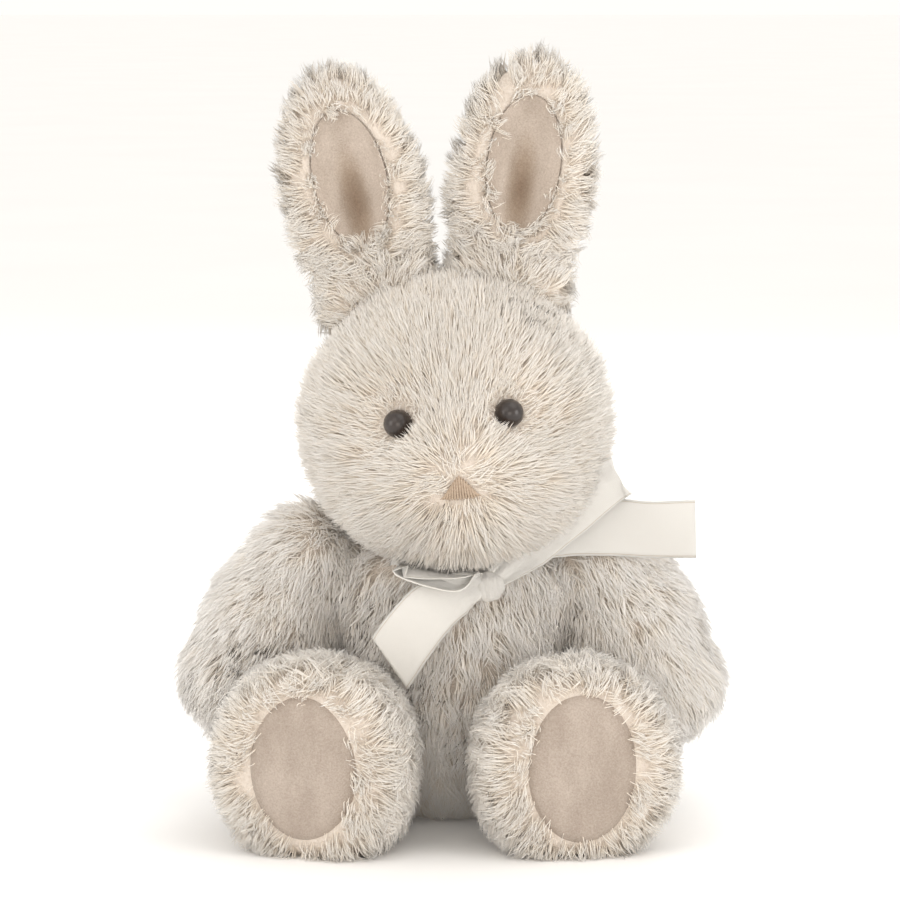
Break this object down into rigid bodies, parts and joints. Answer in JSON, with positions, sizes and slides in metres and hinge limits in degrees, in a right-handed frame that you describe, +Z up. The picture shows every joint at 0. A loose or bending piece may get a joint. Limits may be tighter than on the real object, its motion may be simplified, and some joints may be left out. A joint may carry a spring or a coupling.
{
  "type": "stuffed bunny rabbit",
  "caption": "Seated long-pile plush bunny with upright cupped ears, velour foot pads, glossy safety eyes and a tied satin ribbon; head, ears, arms and legs bend.",
  "frame": {"origin": "middle of the flat seat, on the surface that the toy sits on", "axes": "+Z up, the bunny faces -Y, and its own left side is +X"},
  "size_m": [0.1949, 0.1702, 0.2852],
  "materials": {
    "fur": "cream long-pile plush fur, matte and silky",
    "velour": "dusty beige short-pile velour",
    "satin": "ivory satin ribbon with a woven edge",
    "eye": "dark brown polished safety eye",
    "washer": "natural white locking washer",
    "nose": "tan embroidery floss",
    "filling": "white polyester fibre filling",
    "pouch": "woven inner bag of plastic pellets",
    "label": "blank white satin tape"
  },
  "bodies": {
    "torso": {"torso_front_panel": "fur", "torso_back_left_panel": "fur", "torso_back_right_panel": "fur", "torso_filling": "filling", "seat_bean_pouch": "pouch", "tail_fur": "fur", "tail_filling": "filling", "sewn_in_label": "label", "ribbon_neck_band": "satin", "ribbon_knot": "satin", "ribbon_left_loop": "satin", "ribbon_right_loop": "satin", "ribbon_left_tail": "satin", "ribbon_right_tail": "satin"},
    "neck": {"neck_filling": "filling"},
    "head": {"head_left_panel": "fur", "head_right_panel": "fur", "head_crown_strip": "fur", "head_filling": "filling", "left_eye": "eye", "right_eye": "eye", "left_eye_washer": "washer", "right_eye_washer": "washer", "nose_stitching": "nose"},
    "left_ear": {"left_ear_fur": "fur", "left_ear_lining": "velour"},
    "left_arm": {"left_arm_outer_panel": "fur", "left_arm_inner_panel": "fur", "left_arm_filling": "filling"},
    "left_leg": {"left_leg_outer_panel": "fur", "left_leg_inner_panel": "fur", "left_foot_pad": "velour", "left_leg_filling": "filling"},
    "right_ear": {"right_ear_fur": "fur", "right_ear_lining": "velour"},
    "right_arm": {"right_arm_outer_panel": "fur", "right_arm_inner_panel": "fur", "right_arm_filling": "filling"},
    "right_leg": {"right_leg_outer_panel": "fur", "right_leg_inner_panel": "fur", "right_foot_pad": "velour", "right_leg_filling": "filling"}
  },
  "joints": [
    {"name": "head_turn", "type": "hinge", "parent": "torso", "child": "neck", "pos_m": [0.006, -0.013, 0.102], "axis": [0, 0, 1], "range_deg": [-20, 20], "stiffness_Nm_per_rad": 0.4},
    {"name": "head_nod", "type": "hinge", "parent": "neck", "child": "head", "pos_m": [0.006, -0.013, 0.102], "axis": [1, 0, 0], "range_deg": [-12, 10], "stiffness_Nm_per_rad": 0.8},
    {"name": "left_ear_bend", "type": "hinge", "parent": "head", "child": "left_ear", "pos_m": [0.02069, -0.011, 0.19986], "axis": [0.9914, 0, -0.1305], "range_deg": [-20, 50], "stiffness_Nm_per_rad": 0.08},
    {"name": "right_ear_bend", "type": "hinge", "parent": "head", "child": "right_ear", "pos_m": [-0.02709, -0.011, 0.19526], "axis": [0.9724, 0, 0.2334], "range_deg": [-20, 50], "stiffness_Nm_per_rad": 0.08},
    {"name": "left_arm_swing", "type": "hinge", "parent": "torso", "child": "left_arm", "pos_m": [0.054, -0.01, 0.093], "axis": [-1, 0, 0], "range_deg": [-25, 45]},
    {"name": "right_arm_swing", "type": "hinge", "parent": "torso", "child": "right_arm", "pos_m": [-0.054, -0.01, 0.093], "axis": [-1, 0, 0], "range_deg": [-25, 45]},
    {"name": "left_leg_drop", "type": "hinge", "parent": "torso", "child": "left_leg", "pos_m": [0.037, -0.03, 0.034], "axis": [1, 0, 0], "range_deg": [-15, 25]},
    {"name": "right_leg_drop", "type": "hinge", "parent": "torso", "child": "right_leg", "pos_m": [-0.037, -0.03, 0.034], "axis": [1, 0, 0], "range_deg": [-15, 25]}
  ]
}
